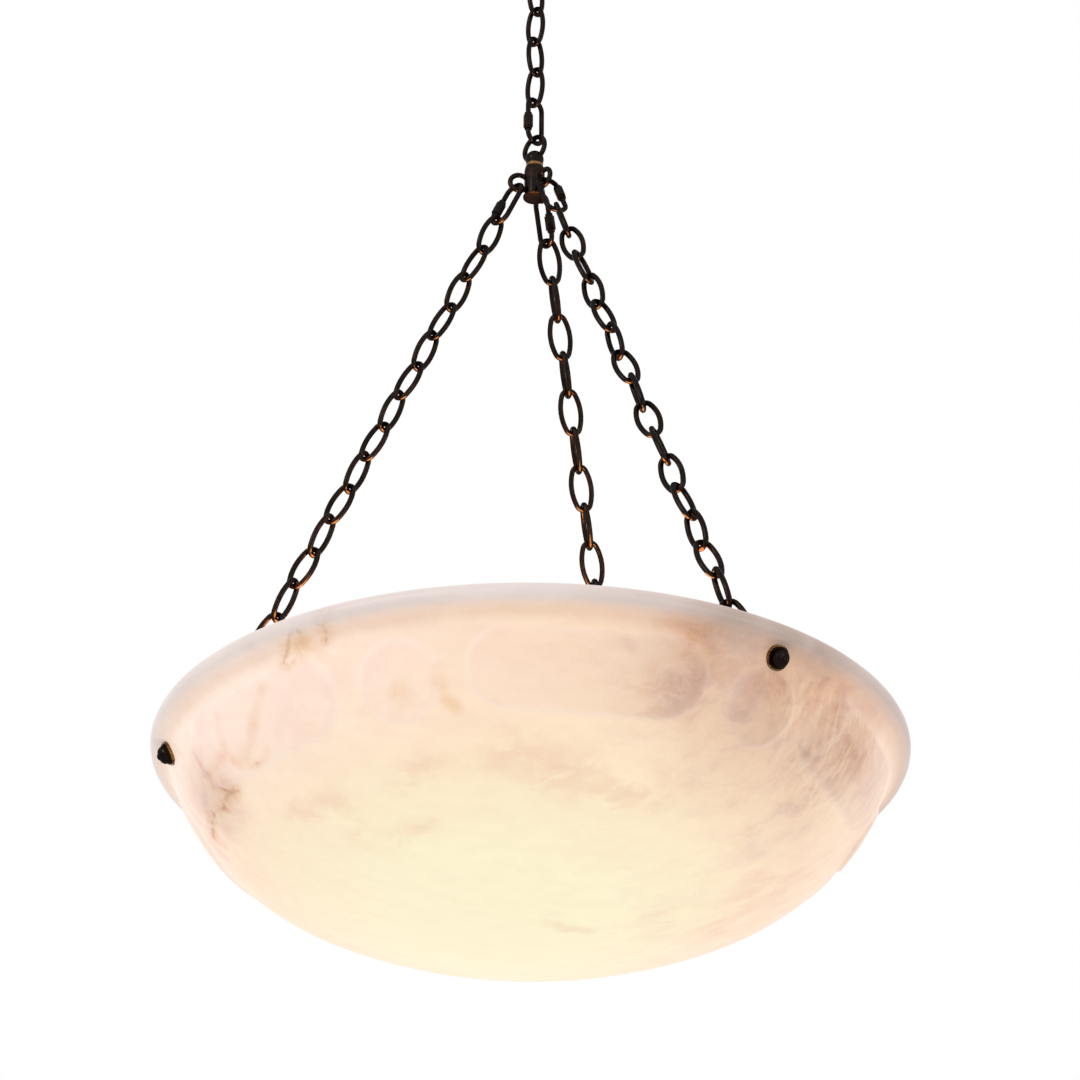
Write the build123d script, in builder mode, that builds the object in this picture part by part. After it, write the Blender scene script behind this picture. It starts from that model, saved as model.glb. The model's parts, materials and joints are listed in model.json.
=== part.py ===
"""Alabaster bowl pendant: a carved stone bowl on three chains, hung from a ceiling canopy.

Millimetres, +Z up. The origin is the centre of the ceiling bracket's top face.
Heights run down from the ceiling: canopy, main chain, hub, three legs of chain, bowl.
"""

import os
from math import asin, cos, radians, sin, sqrt

from build123d import *

os.makedirs("parts", exist_ok=True)

# ---- Driving dimensions -------------------------------------------------------------

seat_gap = 0.3          # play where one wire ring hangs in another
wire = 3.8              # wire of the chains, the rings and the eyes

# ceiling bracket, nipple and canopy
slot_spacing = 79.4     # centres of the two slots, which suit box screws 70 to 89 mm apart
slot_radius = 2.25
slot_length = 14.2
bracket_margin = 6.0
bracket_width = 20.0
bracket_thickness = 2.5
nipple_radius = 5.15
nipple_bore = 3.25
nipple_recess = 0.5     # how far the nipple stops short of the ceiling
nut_flats = 15.0
nut_height = 4.0
ground_screw_offset = 18.0
ground_screw_radius = 2.0
canopy_radius = 63.5
canopy_depth = 30.0
canopy_lip = 4.0
canopy_step = 6.0
canopy_sheet = 1.2
barrel_radius = 11.0
barrel_above = 9.0      # barrel inside the canopy
barrel_below = 8.5      # barrel under the canopy
barrel_clearance = 0.3
collar_radius = 15.5
collar_height = 7.0
collar_grooves = 28
collar_groove_radius = 0.7
nipple_grip = 8.0       # thread engaged in the barrel
wire_way_radius = 2.8
loop_wire = 4.2
loop_radius = 8.5       # centreline
loop_sink = 2.0         # how far the loop's crown is sunk in the barrel

# chain links, all of one size
link_pitch = 28.45      # inner length less the seat gap
link_width = 14.9       # between the wire centres
link_nose = 5.4         # centreline radius of each end
main_links = 6
main_turn = -42.0       # plane of the canopy loop, in degrees about Z

# screw-gate quick links
quick_pitch = 34.1
quick_wire = 3.8
quick_width = 14.9
bead_radius = 2.8
bead_length = 1.8
bead_rise = 1.0         # from the link's bend to the bead
gate_gap = 5.0
gate_edge = 1.5         # sleeve left past the gap on the bead's side
sleeve_flats = 6.4
sleeve_length = 10.5
sleeve_collar_radius = 2.8
sleeve_collar_length = 2.0
sleeve_clearance = 0.3
sleeve_play = 0.1       # between the closed sleeve and its bead

# hub
hub_ring_radius = 9.75  # centreline
head_radius = 6.8
head_drop = 5.25        # from the ring's wire down to the brass washer
head_waist = 6.4
ring_swing = 15.0       # tilt the head's cross hole leaves the ring, in degrees
washer_radius = 6.4
washer_height = 2.4
swivel_gap = 0.3
hub_top_radius = 7.0
hub_shoulder_radius = 7.6
hub_shoulder_drop = 3.2
hub_foot_radius = 7.2
hub_height = 25.0
hub_eye_radius = 6.75   # centreline
hub_eye_reach = 11.4    # from the hub's axis
hub_eye_drop = 14.2     # below the hub body's top
stud_radius = 2.9
stud_clearance = 0.3
stud_engagement = 2.6   # depth of the head's hole
stud_end_gap = 0.2
cap_radius = 8.4
cap_height = 1.4
cap_neck_radius = 4.2
cap_neck_length = 4.0

# legs: azimuth about Z, turn of the quick link, whether its gate's bead is at the lower
# end, turn of the chain, and twist for each link
leg_links = 16
end_ring_pitch = 12.4
legs = {
    "right": (-50.9, 18.0, False, 40.0, 11.4),
    "back": (69.1, 217.0, True, 57.6, 0.0),
    "left": (189.1, 142.5, True, -40.0, -1.5),
}

# alabaster bowl, its outside from the lip down
rim_radius = 254.0
lip_radius = 6.5
lip_overhang = 10.4     # from the rim's widest to the crease under the lip
crease_drop = 7.6
neck_angle = 62.0       # slope of the neck, in degrees from level
neck_length = 28.0
side_radius = 137.0
foot_angle = 25.7       # slope where the side meets the bottom's long curve
bowl_wall = 10.5
lip_corner = 2.0

# belt of carved bosses, six discs and six ovals by turns
boss_pairs = 6
boss_relief = 2.0
boss_sink = 2.0
boss_slope = 57.8       # slope of the side where the bosses are centred
disc_diameter = 50.0
oval_length = 147.0
oval_height = 50.0
oval_offset = 30.0      # from a disc to the next oval, in degrees

# rim fixings
fixing_drop = 12.5      # height of the fixing's outer seat below the rim's middle
rim_stud_radius = 2.5
rim_hole_clearance = 0.5
rim_eye_radius = 5.75   # centreline
rim_washer_radius = 8.3
rim_washer_thickness = 2.0
spot_margin = 0.5
spot_depth = 0.4        # how far each flat seat is let into the curved stone
pad_radius = 8.0
pad_thickness = 1.0
rim_nut_flats = 9.0
rim_nut_height = 4.0
rim_eye_standoff = 4.2  # from the rim nut to the eye's wire
finial_base_radius = 7.2
finial_base_height = 1.3
finial_dome_radius = 6.2
finial_dome_height = 4.6
finial_tip_radius = 2.4
finial_tip_height = 1.3
finial_bore_depth = 4.4

# lamp cluster inside the bowl
arm_width = 12.0
arm_thickness = 1.5
arm_tab = 13.0
arm_overrun = 8.0
arm_bend = 4.0
pan_radius = 45.0
pan_height = 22.0
pan_sheet = 1.5
pan_drop = 30.0         # top of the pan below the rim's middle
arm_foot = 16.0
screw_radius = 2.0
screw_head_radius = 3.5
screw_head_height = 2.2
screw_length = 7.0
cover_sheet = 1.2
cover_overlap = 6.0
cover_clearance = 0.3
gland_radius = 8.5
gland_height = 16.0
gland_bore = 3.6
gland_thread_radius = 6.0
gland_nut_height = 3.5
holder_radius = 18.0
holder_length = 40.0
holder_floor = 6.0
holder_nipple_radius = 4.8
holder_nut_flats = 13.0
holder_nut_height = 2.5
holder_nut_back = 3.2   # how far the nut's far side lies inside the pan's wall
bulb_cap_radius = 13.0
bulb_cap_length = 24.0
bulb_radius = 30.0
bulb_length = 84.0      # glass beyond its cap
bulb_neck_radius = 11.5
bulb_glass = 1.0
block_length = 26.0
block_width = 16.0
block_height = 9.0


# ---- Shared shapes and places -------------------------------------------------------

def turned(outline):
    """A piece turned about Z from the closed outline of its half section."""
    with BuildPart() as piece:
        with BuildSketch(Plane.XZ):
            with BuildLine():
                Polyline(*outline, close=True)
            make_face()
        revolve(axis=Axis.Z)
    return piece.part


def collar(outer, inner, bottom, height):
    """A plain ring about Z."""
    with BuildPart() as piece:
        with BuildSketch(Plane.XY.offset(bottom)):
            Circle(outer)
            Circle(inner, mode=Mode.SUBTRACT)
        extrude(amount=height)
    return piece.part


def hex_nut(flats, bore, bottom, height):
    """A hexagon nut about Z."""
    with BuildPart() as piece:
        with BuildSketch(Plane.XY.offset(bottom)):
            RegularPolygon(flats / 2, 6, major_radius=False)
            Circle(bore, mode=Mode.SUBTRACT)
        extrude(amount=height)
    return piece.part


def save(piece, name):
    """Label a finished piece and write it."""
    piece.label = name
    export_step(piece, f"parts/{name}.step")


def seat_above(thickness):
    """Height of a hanging ring's top wire centre over the seat it hangs from."""
    return seat_gap / 2 + thickness / 2


# One oval chain link. It hangs from the origin down -Z, in the XZ plane.
link_crown = seat_above(wire)
link_half = (link_pitch + 2 * link_crown) / 2
link_flank = ((link_half - link_nose) ** 2 + (link_width / 2) ** 2 - link_nose ** 2) / (
    link_width - 2 * link_nose)
link_middle = link_crown - link_half
nose_reach = (link_half - link_nose) / (link_flank - link_nose)
nose_side = sqrt(1 - nose_reach ** 2)
nose_x = link_nose * nose_side
nose_z = link_half - link_nose + link_nose * nose_reach

with BuildPart() as chain_link:
    with BuildLine(Plane.XZ) as link_path:
        ThreePointArc((-nose_x, link_middle + nose_z), (0, link_crown),
                      (nose_x, link_middle + nose_z))
        ThreePointArc((nose_x, link_middle + nose_z), (link_width / 2, link_middle),
                      (nose_x, link_middle - nose_z))
        ThreePointArc((nose_x, link_middle - nose_z), (0, link_middle - link_half),
                      (-nose_x, link_middle - nose_z))
        ThreePointArc((-nose_x, link_middle - nose_z), (-link_width / 2, link_middle),
                      (-nose_x, link_middle + nose_z))
    with BuildSketch(Plane(link_path.line @ 0, z_dir=link_path.line % 0)):
        Circle(wire / 2)
    sweep()

# One quick link, placed as the chain link is, with its gate on the +X side.
quick_crown = seat_above(quick_wire)
quick_side = quick_width / 2
quick_top = quick_crown - quick_side
quick_bottom = -quick_pitch - quick_crown + quick_side
bead_top = quick_top - bead_rise
sleeve_top = bead_top - bead_length - sleeve_play
gap_top = sleeve_top - gate_edge

with BuildPart() as quick_link:
    with BuildLine(Plane.XZ) as quick_path:
        Line((quick_side, gap_top - gate_gap), (quick_side, quick_bottom))
        ThreePointArc((quick_side, quick_bottom), (0, quick_bottom - quick_side),
                      (-quick_side, quick_bottom))
        Line((-quick_side, quick_bottom), (-quick_side, quick_top))
        ThreePointArc((-quick_side, quick_top), (0, quick_crown), (quick_side, quick_top))
        Line((quick_side, quick_top), (quick_side, gap_top))
    with BuildSketch(Plane(quick_path.line @ 0, z_dir=quick_path.line % 0)):
        Circle(quick_wire / 2)
    sweep()
    with BuildSketch(Plane.XY.offset(bead_top)):
        with Locations((quick_side, 0)):
            Circle(bead_radius)
    extrude(amount=-bead_length)

with BuildPart() as gate_sleeve:
    with BuildSketch(Plane.XY.offset(sleeve_top)):
        with Locations((quick_side, 0)):
            RegularPolygon(sleeve_flats / 2, 6, major_radius=False)
    extrude(amount=-sleeve_length)
    with BuildSketch(Plane.XY.offset(sleeve_top - sleeve_length)):
        with Locations((quick_side, 0)):
            Circle(sleeve_collar_radius)
    extrude(amount=-sleeve_collar_length)
    with BuildSketch(Plane.XY.offset(sleeve_top)):
        with Locations((quick_side, 0)):
            Circle(quick_wire / 2 + sleeve_clearance)
    extrude(amount=-sleeve_length - sleeve_collar_length, mode=Mode.SUBTRACT)

# Turned end for end, a quick link has its gate's bead at the lower end.
quick_flip = Location((0, 0, -quick_pitch), (180, 0, 0))


# ---- Heights down the main chain ----------------------------------------------------

barrel_top = -canopy_depth + barrel_above
barrel_bottom = -canopy_depth - barrel_below
loop_middle = barrel_bottom + loop_sink - loop_radius
main_seat = loop_middle - loop_radius + seat_above(loop_wire)
quick_seat = main_seat - main_links * link_pitch
ring_seat = quick_seat - quick_pitch
ring_middle = ring_seat + seat_above(wire) - hub_ring_radius
head_middle = ring_middle - hub_ring_radius
washer_top = head_middle - head_drop
hub_top = washer_top - washer_height - swivel_gap
hub_foot = hub_top - hub_height
hub_eye_z = hub_top - hub_eye_drop


# ---- Ceiling: bracket, nipple, canopy and its loop ----------------------------------

with BuildPart() as ceiling_bracket:
    with BuildSketch():
        RectangleRounded(slot_spacing + slot_length + 2 * bracket_margin, bracket_width,
                         bracket_margin / 2)
        Circle(nipple_radius, mode=Mode.SUBTRACT)
        with Locations((0, ground_screw_offset / 2.5), (ground_screw_offset, 0)):
            Circle(ground_screw_radius, mode=Mode.SUBTRACT)
        with Locations((-slot_spacing / 2, 0), (slot_spacing / 2, 0)):
            SlotOverall(slot_length, 2 * slot_radius, mode=Mode.SUBTRACT)
    extrude(amount=-bracket_thickness)
save(ceiling_bracket.part, "ceiling_bracket")

nipple_bottom = barrel_top - nipple_grip
save(collar(nipple_radius, nipple_bore, nipple_bottom, -nipple_recess - nipple_bottom), "nipple")

with BuildPart() as nipple_nuts:
    add(hex_nut(nut_flats, nipple_radius, -bracket_thickness - nut_height, nut_height))
    add(hex_nut(nut_flats, nipple_radius, barrel_top, nut_height))
save(nipple_nuts.part, "nipple_nuts")

with BuildPart() as ground_screw:
    with BuildSketch(Plane.XY.offset(-nipple_recess)):
        with Locations((ground_screw_offset, 0)):
            Circle(ground_screw_radius)
    extrude(amount=nipple_recess - bracket_thickness)
    with BuildSketch(Plane.XY.offset(-bracket_thickness)):
        with Locations((ground_screw_offset, 0)):
            RegularPolygon(2 * ground_screw_radius, 6)
    extrude(amount=-2 * ground_screw_radius)
save(ground_screw.part, "ground_screw")

# A spun cup: a short skirt at the ceiling, a step, and a shallow dome down to its flat.
half_sheet = canopy_sheet / 2
canopy_flat = barrel_radius + 8.0
with BuildPart() as canopy:
    with BuildSketch(Plane.XZ):
        with BuildLine() as canopy_sheet_line:
            FilletPolyline(
                (canopy_radius - half_sheet, 0),
                (canopy_radius - half_sheet, -canopy_lip),
                (canopy_radius - canopy_step, -canopy_lip - canopy_step / 2),
                (canopy_radius * 0.72, -canopy_depth * 0.72),
                (canopy_flat, -canopy_depth + half_sheet),
                (barrel_radius + barrel_clearance, -canopy_depth + half_sheet),
                radius=canopy_step / 3,
            )
        trace(line_width=canopy_sheet)
    revolve(axis=Axis.Z)
save(canopy.part, "canopy")

with BuildPart() as canopy_collar:
    with BuildSketch(Plane.XY.offset(-canopy_depth)):
        Circle(collar_radius)
        Circle(barrel_radius + barrel_clearance, mode=Mode.SUBTRACT)
        with PolarLocations(collar_radius, collar_grooves):
            Circle(collar_groove_radius, mode=Mode.SUBTRACT)
    extrude(amount=-collar_height)
save(canopy_collar.part, "canopy_collar")

loop_plane = Plane(origin=(0, 0, loop_middle), z_dir=Vector(0, 1, 0).rotate(Axis.Z, main_turn))
with BuildPart() as canopy_loop:
    with BuildSketch(Plane.XY.offset(barrel_bottom)):
        Circle(barrel_radius)
    extrude(amount=barrel_above + barrel_below)
    with Locations(loop_plane.location):
        Torus(loop_radius, loop_wire / 2)
    with BuildSketch(Plane.XY.offset(barrel_top)):
        Circle(nipple_radius)
    extrude(amount=-nipple_grip, mode=Mode.SUBTRACT)
    with BuildSketch(Plane.XY.offset(nipple_bottom)):
        with Locations(Vector(0, loop_wire / 2 + wire_way_radius + 0.4, 0).rotate(Axis.Z, main_turn)):
            Circle(wire_way_radius)
    extrude(until=Until.LAST, dir=(0, 0, -1), mode=Mode.SUBTRACT)
save(canopy_loop.part, "canopy_loop")


# ---- Main chain ---------------------------------------------------------------------

def main_place(height, turn):
    """Where a main link hangs: its seat's height and its plane's turn about Z."""
    return Location((0, 0, height), (0, 0, turn))


for number in range(1, main_links + 1):
    turn = main_turn + 90 * number
    with BuildPart() as main_link:
        with Locations(main_place(main_seat - (number - 1) * link_pitch, turn)):
            add(chain_link.part)
    save(main_link.part, f"main_link_{number}")

quick_turn = main_turn + 90 * (main_links + 1)
main_quick_place = main_place(quick_seat, quick_turn) * quick_flip
with BuildPart() as main_quick_link:
    with Locations(main_quick_place):
        add(quick_link.part)
save(main_quick_link.part, "main_quick_link")

with BuildPart() as main_gate_sleeve:
    with Locations(main_quick_place):
        add(gate_sleeve.part)
save(main_gate_sleeve.part, "main_gate_sleeve")


# ---- Hub: ring, cross-drilled head, brass washer, three-eyed body, stud and cap -----

ring_turn = quick_turn + 90
ring_normal = Vector(0, 1, 0).rotate(Axis.Z, ring_turn)
ring_line = Vector(1, 0, 0).rotate(Axis.Z, ring_turn)
ring_rise = hub_ring_radius - sqrt(hub_ring_radius ** 2 - head_radius ** 2)
ring_flare = ring_rise * sin(radians(ring_swing)) + seat_gap

with BuildPart() as hub_ring:
    with Locations(Plane(origin=(0, 0, ring_middle), z_dir=ring_normal).location):
        Torus(hub_ring_radius, wire / 2)
save(hub_ring.part, "hub_ring")

with BuildPart() as hub_head:
    with BuildSketch(Plane.XY.offset(washer_top)):
        Circle(head_waist)
    extrude(amount=head_drop)
    with Locations((0, 0, head_middle)):
        Sphere(head_radius)
    split(bisect_by=Plane.XY.offset(washer_top), keep=Keep.TOP)
    with BuildSketch(Plane.XY.offset(washer_top)):
        Circle(stud_radius)
    extrude(amount=stud_engagement, mode=Mode.SUBTRACT)
    # The hole follows the ring's curve and is wider across it, for the ring's swing.
    with BuildSketch(Plane(origin=(0, 0, ring_middle), x_dir=ring_normal, z_dir=ring_line)):
        with Locations((0, -hub_ring_radius)):
            SlotOverall(wire + 2 * seat_gap + 2 * ring_flare, wire + 2 * seat_gap)
    revolve(axis=Axis((0, 0, ring_middle), ring_normal), mode=Mode.SUBTRACT)
save(hub_head.part, "hub_head")

save(collar(washer_radius, stud_radius, washer_top - washer_height, washer_height), "hub_washer")

leg_azimuths = [azimuth for azimuth, *_ in legs.values()]
with BuildPart() as hub_body:
    with BuildSketch(Plane.XZ):
        with BuildLine():
            Polyline(
                (0, hub_top), (hub_top_radius, hub_top),
                (hub_shoulder_radius, hub_top - hub_shoulder_drop),
                (hub_shoulder_radius, hub_eye_z),
                (hub_foot_radius, hub_foot), (0, hub_foot), close=True)
        make_face()
    revolve(axis=Axis.Z)
    fillet(edges().filter_by(GeomType.CIRCLE).group_by(Axis.Z)[-2], radius=1.5)
    for azimuth in leg_azimuths:
        eye_normal = Vector(0, 1, 0).rotate(Axis.Z, azimuth)
        eye_middle = Vector(hub_eye_reach, 0, hub_eye_z).rotate(Axis.Z, azimuth)
        with Locations(Plane(origin=eye_middle, z_dir=eye_normal).location):
            Torus(hub_eye_radius, wire / 2)
    with BuildSketch(Plane.XY.offset(hub_foot)):
        Circle(stud_radius + stud_clearance)
    extrude(amount=hub_height, mode=Mode.SUBTRACT)
    with BuildSketch(Plane.XY.offset(hub_foot)):
        Circle(cap_neck_radius + stud_clearance)
    extrude(amount=cap_neck_length + swivel_gap, mode=Mode.SUBTRACT)
save(hub_body.part, "hub_body")

cap_top = hub_foot - swivel_gap
with BuildPart() as hub_cap:
    add(collar(cap_neck_radius, stud_radius, cap_top, cap_neck_length))
    with BuildSketch(Plane.XY.offset(cap_top)):
        Circle(cap_radius)
    extrude(amount=-cap_height)
    fillet(edges().filter_by(GeomType.CIRCLE).group_by(Axis.Z)[0], radius=cap_height / 3)
save(hub_cap.part, "hub_cap")

with BuildPart() as hub_stud:
    with BuildSketch(Plane.XY.offset(cap_top)):
        Circle(stud_radius)
    extrude(amount=washer_top + stud_engagement - stud_end_gap - cap_top)
save(hub_stud.part, "hub_stud")


# ---- Bowl section, measured from the rim's middle -----------------------------------

neck = radians(neck_angle)
foot = radians(foot_angle)
crease_r = rim_radius - lip_overhang
neck_foot_r = crease_r - neck_length * cos(neck)
neck_foot_z = -crease_drop - neck_length * sin(neck)
side_r = neck_foot_r - side_radius * sin(neck)
side_z = neck_foot_z + side_radius * cos(neck)
knuckle_r = side_r + side_radius * sin(foot)
knuckle_z = side_z - side_radius * cos(foot)
bottom_radius = knuckle_r / sin(foot)
bottom_centre_z = knuckle_z + bottom_radius * cos(foot)

# The rim fixing's axis stands square to the neck. It starts at the outer seat.
fixing_in_r = -sin(neck)
fixing_in_z = cos(neck)
fixing_r = crease_r - (fixing_drop - crease_drop) * cos(neck) / sin(neck) + spot_depth * fixing_in_r
fixing_z = -fixing_drop + spot_depth * fixing_in_z
fixing_wall = bowl_wall - 2 * spot_depth


def fixing_point(depth):
    """Radius and height of the point this deep along a rim fixing's axis."""
    return fixing_r + fixing_in_r * depth, fixing_z + fixing_in_z * depth


# The legs run straight from the hub's eyes to the rim eyes. Their spread follows from
# the chain's length, and the rim eye lies where the fixing's axis meets the leg.
leg_length = quick_pitch + leg_links * link_pitch + end_ring_pitch
eye_to_eye = (hub_eye_radius + rim_eye_radius - 2 * seat_above(wire)) + leg_length
rim_eye_depth = (fixing_wall + pad_thickness + arm_thickness + rim_nut_height
                 + rim_eye_radius + wire / 2 + rim_eye_standoff)
rim_eye_r, rim_eye_z = fixing_point(rim_eye_depth)
leg_lean = asin((rim_eye_r - hub_eye_reach) / eye_to_eye)
rim_z = hub_eye_z - eye_to_eye * cos(leg_lean) - rim_eye_z


def leg_place(azimuth, distance, turn):
    """A point this far down a leg from the hub eye's middle, turned about the leg."""
    outward = Vector(1, 0, 0).rotate(Axis.Z, azimuth)
    down = outward * sin(leg_lean) - Vector(0, 0, cos(leg_lean))
    across = Vector(0, 1, 0).rotate(Axis.Z, azimuth).rotate(Axis((0, 0, 0), down), turn)
    origin = outward * hub_eye_reach + Vector(0, 0, hub_eye_z) + down * distance
    return Plane(origin=origin, x_dir=across, z_dir=-down).location


first_seat = hub_eye_radius - seat_above(wire)

for side, (azimuth, quick_leg_turn, flipped, chain_turn, twist) in legs.items():
    quick_place = leg_place(azimuth, first_seat, quick_leg_turn)
    if flipped:
        quick_place = quick_place * quick_flip
    with BuildPart() as leg_quick_link:
        with Locations(quick_place):
            add(quick_link.part)
    save(leg_quick_link.part, f"leg_quick_link_{side}")

    with BuildPart() as leg_gate_sleeve:
        with Locations(quick_place):
            add(gate_sleeve.part)
    save(leg_gate_sleeve.part, f"leg_gate_sleeve_{side}")

    link_places = [
        leg_place(azimuth, first_seat + quick_pitch + (number - 1) * link_pitch,
                  chain_turn + twist * number + 90 * number)
        for number in range(1, leg_links + 1)
    ]
    with BuildPart() as leg_chain:
        with Locations(*link_places):
            add(chain_link.part)
    save(leg_chain.part, f"leg_chain_{side}")

end_ring_radius = (end_ring_pitch + 2 * seat_above(wire)) / 2
with BuildPart() as leg_end_rings:
    for azimuth, _, _, chain_turn, twist in legs.values():
        last_turn = chain_turn + twist * leg_links + 90 * leg_links
        lean_off = (last_turn + 180) % 180 - 90
        middle = first_seat + leg_length - end_ring_pitch / 2
        ring_place = leg_place(azimuth, middle, lean_off / 2)
        with Locations(ring_place * Location((0, 0, 0), (90, 0, 0))):
            Torus(end_ring_radius, wire / 2)
save(leg_end_rings.part, "leg_end_rings")


# ---- Bowl ---------------------------------------------------------------------------

def section_arc(centre_r, centre_z, radius, start, end):
    """An arc of the bowl's section between two slopes, in radians from level."""
    points = [
        (centre_r + radius * sin(slope), rim_z + centre_z - radius * cos(slope))
        for slope in (start, (start + end) / 2, end)
    ]
    return ThreePointArc(*points)


inner_top_z = lip_radius
inner_neck_top = (inner_top_z + crease_drop - bowl_wall * cos(neck)) / sin(neck)
inner_top_r = crease_r - bowl_wall * sin(neck) + inner_neck_top * cos(neck)

with BuildPart() as bowl:
    with BuildSketch(Plane.XZ):
        with BuildLine():
            outer_bottom = section_arc(0, bottom_centre_z, bottom_radius, 0, foot)
            section_arc(side_r, side_z, side_radius, foot, neck)
            Line((neck_foot_r, rim_z + neck_foot_z), (crease_r, rim_z - crease_drop))
            Line((crease_r, rim_z - crease_drop), (rim_radius - lip_radius, rim_z - lip_radius))
            ThreePointArc((rim_radius - lip_radius, rim_z - lip_radius), (rim_radius, rim_z),
                          (rim_radius - lip_radius, rim_z + lip_radius))
            Line((rim_radius - lip_radius, rim_z + lip_radius), (inner_top_r, rim_z + inner_top_z))
            Line((inner_top_r, rim_z + inner_top_z),
                 (neck_foot_r - bowl_wall * sin(neck), rim_z + neck_foot_z + bowl_wall * cos(neck)))
            section_arc(side_r, side_z, side_radius - bowl_wall, neck, foot)
            inner_bottom = section_arc(0, bottom_centre_z, bottom_radius - bowl_wall, foot, 0)
            Line(inner_bottom @ 1, outer_bottom @ 0)
        make_face()
    revolve(axis=Axis.Z)
    fillet(edges().filter_by(GeomType.CIRCLE).group_by(Axis.Z)[-1].sort_by(SortBy.RADIUS)[0],
           radius=lip_corner)

# The bosses are a skin proud of the side, kept only inside the discs and ovals.
boss = radians(boss_slope)
boss_r = side_r + side_radius * sin(boss)
boss_z = rim_z + side_z - side_radius * cos(boss)
skin_reach = disc_diameter * 0.8 / side_radius


def boss_plane(azimuth):
    """The plane that touches the side where a boss is centred, seen from outside."""
    outward = Vector(1, 0, 0).rotate(Axis.Z, azimuth)
    normal = outward * sin(boss) - Vector(0, 0, cos(boss))
    along = Vector(0, 1, 0).rotate(Axis.Z, azimuth)
    return Plane(origin=outward * boss_r + Vector(0, 0, boss_z), x_dir=along, z_dir=normal)


with BuildPart() as belt_skin:
    with BuildSketch(Plane.XZ):
        with BuildLine():
            low = boss - skin_reach
            high = boss + skin_reach
            proud = section_arc(side_r, side_z, side_radius + boss_relief, low, high)
            sunk = section_arc(side_r, side_z, side_radius - boss_sink, high, low)
            Line(proud @ 1, sunk @ 0)
            Line(sunk @ 1, proud @ 0)
        make_face()
    revolve(axis=Axis.Z)

disc_azimuths = [leg_azimuths[0] + 360 / boss_pairs * number for number in range(boss_pairs)]
with BuildPart() as bosses:
    with BuildSketch(*[boss_plane(azimuth) for azimuth in disc_azimuths]):
        Circle(disc_diameter / 2)
    extrude(amount=disc_diameter / 2, both=True)
    with BuildSketch(*[boss_plane(azimuth + oval_offset) for azimuth in disc_azimuths]):
        SlotOverall(oval_length, oval_height)
    extrude(amount=disc_diameter / 2, both=True)
    add(belt_skin.part, mode=Mode.INTERSECT)

stud_places = []
for azimuth in leg_azimuths:
    outward = Vector(1, 0, 0).rotate(Axis.Z, azimuth)
    axis_out = outward * sin(neck) - Vector(0, 0, cos(neck))
    seat = outward * fixing_r + Vector(0, 0, rim_z + fixing_z)
    stud_places.append(Plane(origin=seat, x_dir=Vector(0, 1, 0).rotate(Axis.Z, azimuth),
                             z_dir=axis_out).location)

with bowl:
    add(bosses.part)
    with Locations(*stud_places):
        Cylinder(rim_stud_radius + rim_hole_clearance, 4 * bowl_wall, mode=Mode.SUBTRACT)
        Cylinder(rim_washer_radius + spot_margin, bowl_wall, mode=Mode.SUBTRACT,
                 align=(Align.CENTER, Align.CENTER, Align.MIN))
    with Locations(*[place * Location((0, 0, -fixing_wall)) for place in stud_places]):
        Cylinder(pad_radius + spot_margin, bowl_wall / 2, mode=Mode.SUBTRACT,
                 align=(Align.CENTER, Align.CENTER, Align.MAX))
save(bowl.part, "bowl")


# ---- Rim fixings: finial, brass washer, pad, nut and eye bolt -----------------------

def at_studs(piece):
    """Three copies of a piece, one on each rim fixing's axis."""
    with BuildPart() as group:
        with Locations(*stud_places):
            add(piece)
    return group.part


save(at_studs(collar(rim_washer_radius, rim_stud_radius, 0, rim_washer_thickness)), "rim_washers")

# A finial: a base disc on the washer, a round dome and a small rounded tip.
finial_base = rim_washer_thickness
dome_base = finial_base + finial_base_height
tip_base = dome_base + finial_dome_height
dome_bulge = (finial_tip_radius + (finial_dome_radius - finial_tip_radius) * sqrt(0.5),
              dome_base + finial_dome_height * sqrt(0.5))
tip_end = tip_base + finial_tip_height
tip_sphere = (finial_tip_radius ** 2 + finial_tip_height ** 2) / (2 * finial_tip_height)
tip_half = asin(finial_tip_radius / tip_sphere) / 2
tip_bulge = (tip_sphere * sin(tip_half), tip_end - tip_sphere * (1 - cos(tip_half)))
with BuildPart() as finial:
    with BuildSketch(Plane.XZ):
        with BuildLine():
            Polyline((0, finial_base + finial_bore_depth),
                     (rim_stud_radius, finial_base + finial_bore_depth),
                     (rim_stud_radius, finial_base), (finial_base_radius, finial_base),
                     (finial_base_radius, dome_base), (finial_dome_radius, dome_base))
            ThreePointArc((finial_dome_radius, dome_base), dome_bulge, (finial_tip_radius, tip_base))
            ThreePointArc((finial_tip_radius, tip_base), tip_bulge, (0, tip_end))
            Line((0, tip_end), (0, finial_base + finial_bore_depth))
        make_face()
    revolve(axis=Axis.Z)
save(at_studs(finial.part), "rim_finials")

pad_seat = -fixing_wall - pad_thickness
save(at_studs(collar(pad_radius, rim_stud_radius, pad_seat, pad_thickness)), "rim_pads")

nut_seat = pad_seat - arm_thickness - rim_nut_height
save(at_studs(hex_nut(rim_nut_flats, rim_stud_radius, nut_seat, rim_nut_height)), "rim_nuts")

with BuildPart() as eye_bolt:
    with BuildSketch(Plane.XY.offset(-rim_eye_depth + rim_eye_radius)):
        Circle(rim_stud_radius)
    extrude(amount=rim_eye_depth - rim_eye_radius + finial_base + finial_bore_depth - 0.5)
    with Locations(Location((0, 0, -rim_eye_depth), (0, 90, 0))):
        Torus(rim_eye_radius, wire / 2)
save(at_studs(eye_bolt.part), "rim_eye_bolts")


# ---- Lamp cluster: three arms, pan, cover, gland, lampholders and bulbs -------------

pan_top = rim_z - pan_drop
pan_floor = pan_top - pan_height
tab_depth = -pad_seat + arm_thickness / 2
stud_r, stud_z = fixing_point(tab_depth)
tab_r, tab_z = cos(neck), sin(neck)

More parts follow.
